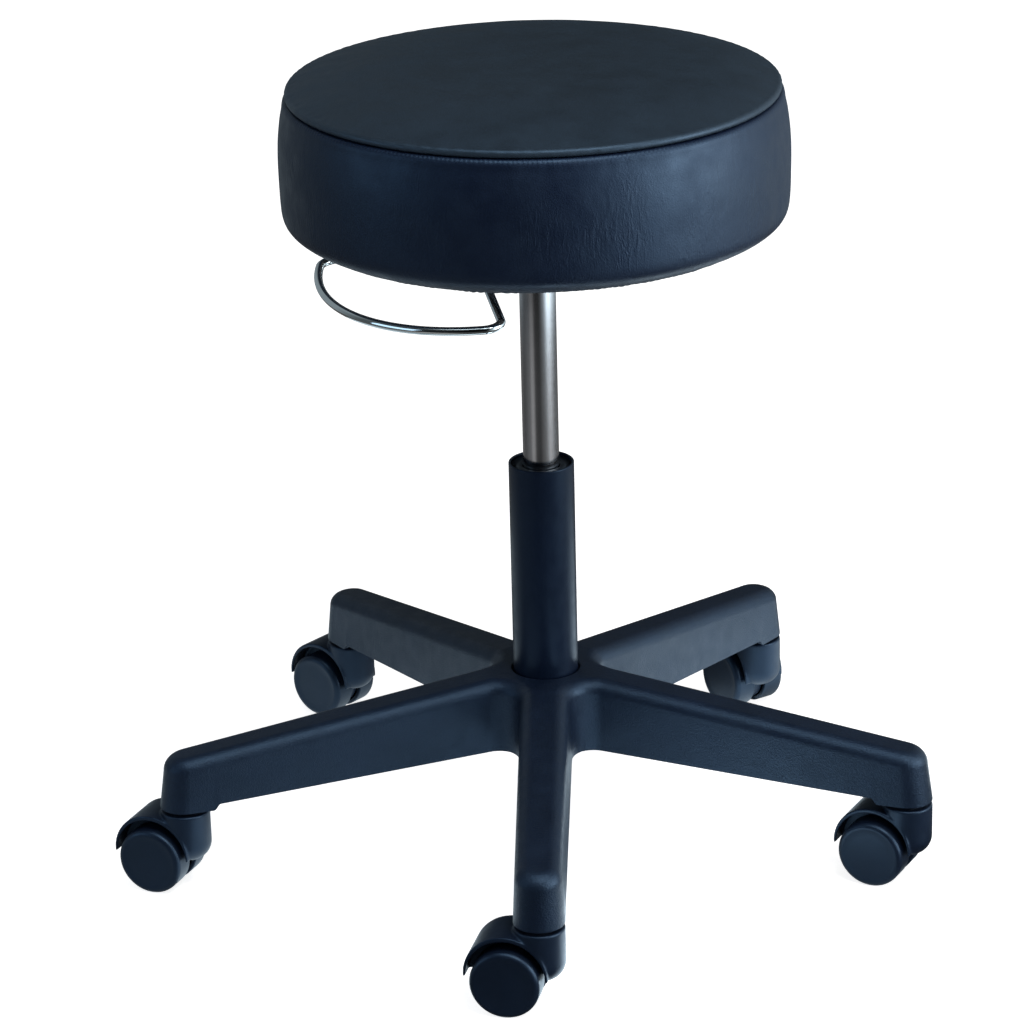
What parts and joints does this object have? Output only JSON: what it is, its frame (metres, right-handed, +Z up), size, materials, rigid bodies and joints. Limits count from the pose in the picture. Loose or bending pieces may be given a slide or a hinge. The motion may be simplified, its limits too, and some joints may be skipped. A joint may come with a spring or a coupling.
{
  "type": "pneumatic stool",
  "caption": "Round padded stool on a gas lift with a ring release, a five-legged hooded-caster base and a swivelling, height-adjustable seat.",
  "frame": {"origin": "on the floor, on the axis of the column", "axes": "+Z up along the column, -Y along the first leg, towards the viewer; +X to the viewer's right"},
  "size_m": [0.6344, 0.6097, 0.6325],
  "materials": {
    "base_plastic": "fine spark-eroded texture, dark navy-black glass-filled nylon",
    "caster_plastic": "smooth matte moulded nylon, navy-black",
    "wheel_plastic": "smooth matte moulded nylon, navy-black",
    "column_paint": "satin navy-black powder coat",
    "plate_paint": "satin black powder coat",
    "polished_steel": "hard-chromed and polished",
    "ring_chrome": "bright chrome plated wire",
    "zinc_steel": "zinc plated",
    "brass_part": "turned brass",
    "dark_plastic": "black acetal",
    "rubber_part": "black rubber",
    "plywood": "unfinished birch plywood",
    "foam": "open-cell polyurethane foam",
    "vinyl_top": "upholstery vinyl with fine leather grain, dark slate",
    "vinyl_side": "upholstery vinyl with fine leather grain, navy",
    "dust_cloth": "black non-woven lining"
  },
  "bodies": {
    "base": {"base_star": "base_plastic", "hub_ring": "zinc_steel", "column_tube": "column_paint", "column_end_plate": "zinc_steel", "guide_bush": "dark_plastic", "bearing_lower_race": "zinc_steel", "bearing_balls": "zinc_steel", "bearing_cage": "brass_part", "caster_1_stem": "zinc_steel", "caster_1_grip_ring": "zinc_steel", "caster_2_stem": "zinc_steel", "caster_2_grip_ring": "zinc_steel", "caster_3_stem": "zinc_steel", "caster_3_grip_ring": "zinc_steel", "caster_4_stem": "zinc_steel", "caster_4_grip_ring": "zinc_steel", "caster_5_stem": "zinc_steel", "caster_5_grip_ring": "zinc_steel"},
    "rod": {"piston_rod": "polished_steel", "piston": "zinc_steel", "rod_clip": "zinc_steel", "bearing_upper_race": "zinc_steel", "bumper": "rubber_part"},
    "seat": {"pressure_tube": "polished_steel", "rod_gland": "rubber_part", "valve_body": "brass_part", "seat_plate": "plate_paint", "plate_bolts": "zinc_steel", "t_nuts": "zinc_steel", "seat_board": "plywood", "seat_foam": "foam", "seat_cover_top": "vinyl_top", "seat_cover_side": "vinyl_side", "dust_cover": "dust_cloth", "staples": "zinc_steel", "rocker_pin": "zinc_steel"},
    "release_lever": {"release_rocker": "zinc_steel", "d_ring": "ring_chrome"},
    "valve_button": {"valve_pin": "polished_steel"},
    "caster_1": {"caster_1_hood": "caster_plastic", "caster_1_axle": "zinc_steel"},
    "wheel_1_left": {"caster_1_wheel_left": "wheel_plastic"},
    "wheel_1_right": {"caster_1_wheel_right": "wheel_plastic"},
    "caster_2": {"caster_2_hood": "caster_plastic", "caster_2_axle": "zinc_steel"},
    "wheel_2_left": {"caster_2_wheel_left": "wheel_plastic"},
    "wheel_2_right": {"caster_2_wheel_right": "wheel_plastic"},
    "caster_3": {"caster_3_hood": "caster_plastic", "caster_3_axle": "zinc_steel"},
    "wheel_3_left": {"caster_3_wheel_left": "wheel_plastic"},
    "wheel_3_right": {"caster_3_wheel_right": "wheel_plastic"},
    "caster_4": {"caster_4_hood": "caster_plastic", "caster_4_axle": "zinc_steel"},
    "wheel_4_left": {"caster_4_wheel_left": "wheel_plastic"},
    "wheel_4_right": {"caster_4_wheel_right": "wheel_plastic"},
    "caster_5": {"caster_5_hood": "caster_plastic", "caster_5_axle": "zinc_steel"},
    "wheel_5_left": {"caster_5_wheel_left": "wheel_plastic"},
    "wheel_5_right": {"caster_5_wheel_right": "wheel_plastic"}
  },
  "joints": [
    {"name": "seat_swivel", "type": "hinge", "parent": "base", "child": "rod", "pos_m": [0, 0, 0.1], "axis": [0, 0, 1], "continuous": true},
    {"name": "lift", "type": "slide", "parent": "rod", "child": "seat", "axis": [0, 0, 1], "range_m": [-0.14, 0]},
    {"name": "release_pull", "type": "hinge", "parent": "seat", "child": "release_lever", "pos_m": [-0.02298, -0.01928, 0.4924], "axis": [-0.6428, 0.766, 0], "range_deg": [0, 5.7], "stiffness_Nm_per_rad": 1.5, "springref_deg": -14.32},
    {"name": "valve_press", "type": "slide", "parent": "seat", "child": "valve_button", "axis": [0, 0, -1], "range_m": [0, 0.003]},
    {"name": "caster_1_swivel", "type": "hinge", "parent": "base", "child": "caster_1", "pos_m": [0, -0.2935, 0.06], "axis": [0, 0, 1], "continuous": true},
    {"name": "wheel_1_left_spin", "type": "hinge", "parent": "caster_1", "child": "wheel_1_left", "pos_m": [-0.02152, -0.28893, 0.0265], "axis": [-0.2079, -0.9781, 0], "continuous": true},
    {"name": "wheel_1_right_spin", "type": "hinge", "parent": "caster_1", "child": "wheel_1_right", "pos_m": [-0.02152, -0.28893, 0.0265], "axis": [-0.2079, -0.9781, 0], "continuous": true},
    {"name": "caster_2_swivel", "type": "hinge", "parent": "base", "child": "caster_2", "pos_m": [0.27914, -0.0907, 0.06], "axis": [0, 0, 1], "continuous": true},
    {"name": "wheel_2_left_spin", "type": "hinge", "parent": "caster_2", "child": "wheel_2_left", "pos_m": [0.25936, -0.08105, 0.0265], "axis": [-0.4384, -0.8988, 0], "continuous": true},
    {"name": "wheel_2_right_spin", "type": "hinge", "parent": "caster_2", "child": "wheel_2_right", "pos_m": [0.25936, -0.08105, 0.0265], "axis": [-0.4384, -0.8988, 0], "continuous": true},
    {"name": "caster_3_swivel", "type": "hinge", "parent": "base", "child": "caster_3", "pos_m": [0.17252, 0.23745, 0.06], "axis": [0, 0, 1], "continuous": true},
    {"name": "wheel_3_left_spin", "type": "hinge", "parent": "caster_3", "child": "wheel_3_left", "pos_m": [0.1599, 0.25547, 0.0265], "axis": [-0.8192, -0.5736, 0], "continuous": true},
    {"name": "wheel_3_right_spin", "type": "hinge", "parent": "caster_3", "child": "wheel_3_right", "pos_m": [0.1599, 0.25547, 0.0265], "axis": [-0.8192, -0.5736, 0], "continuous": true},
    {"name": "caster_4_swivel", "type": "hinge", "parent": "base", "child": "caster_4", "pos_m": [-0.17252, 0.23745, 0.06], "axis": [0, 0, 1], "continuous": true},
    {"name": "wheel_4_left_spin", "type": "hinge", "parent": "caster_4", "child": "wheel_4_left", "pos_m": [-0.18985, 0.25099, 0.0265], "axis": [-0.6157, -0.788, 0], "continuous": true},
    {"name": "wheel_4_right_spin", "type": "hinge", "parent": "caster_4", "child": "wheel_4_right", "pos_m": [-0.18985, 0.25099, 0.0265], "axis": [-0.6157, -0.788, 0], "continuous": true},
    {"name": "caster_5_swivel", "type": "hinge", "parent": "base", "child": "caster_5", "pos_m": [-0.27914, -0.0907, 0.06], "axis": [0, 0, 1], "continuous": true},
    {"name": "wheel_5_left_spin", "type": "hinge", "parent": "caster_5", "child": "wheel_5_left", "pos_m": [-0.29953, -0.08246, 0.0265], "axis": [-0.3746, -0.9272, 0], "continuous": true},
    {"name": "wheel_5_right_spin", "type": "hinge", "parent": "caster_5", "child": "wheel_5_right", "pos_m": [-0.29953, -0.08246, 0.0265], "axis": [-0.3746, -0.9272, 0], "continuous": true}
  ],
  "couplings": [
    {"joint": "valve_press", "follows": "release_pull", "m_per_rad": 0.03}
  ]
}
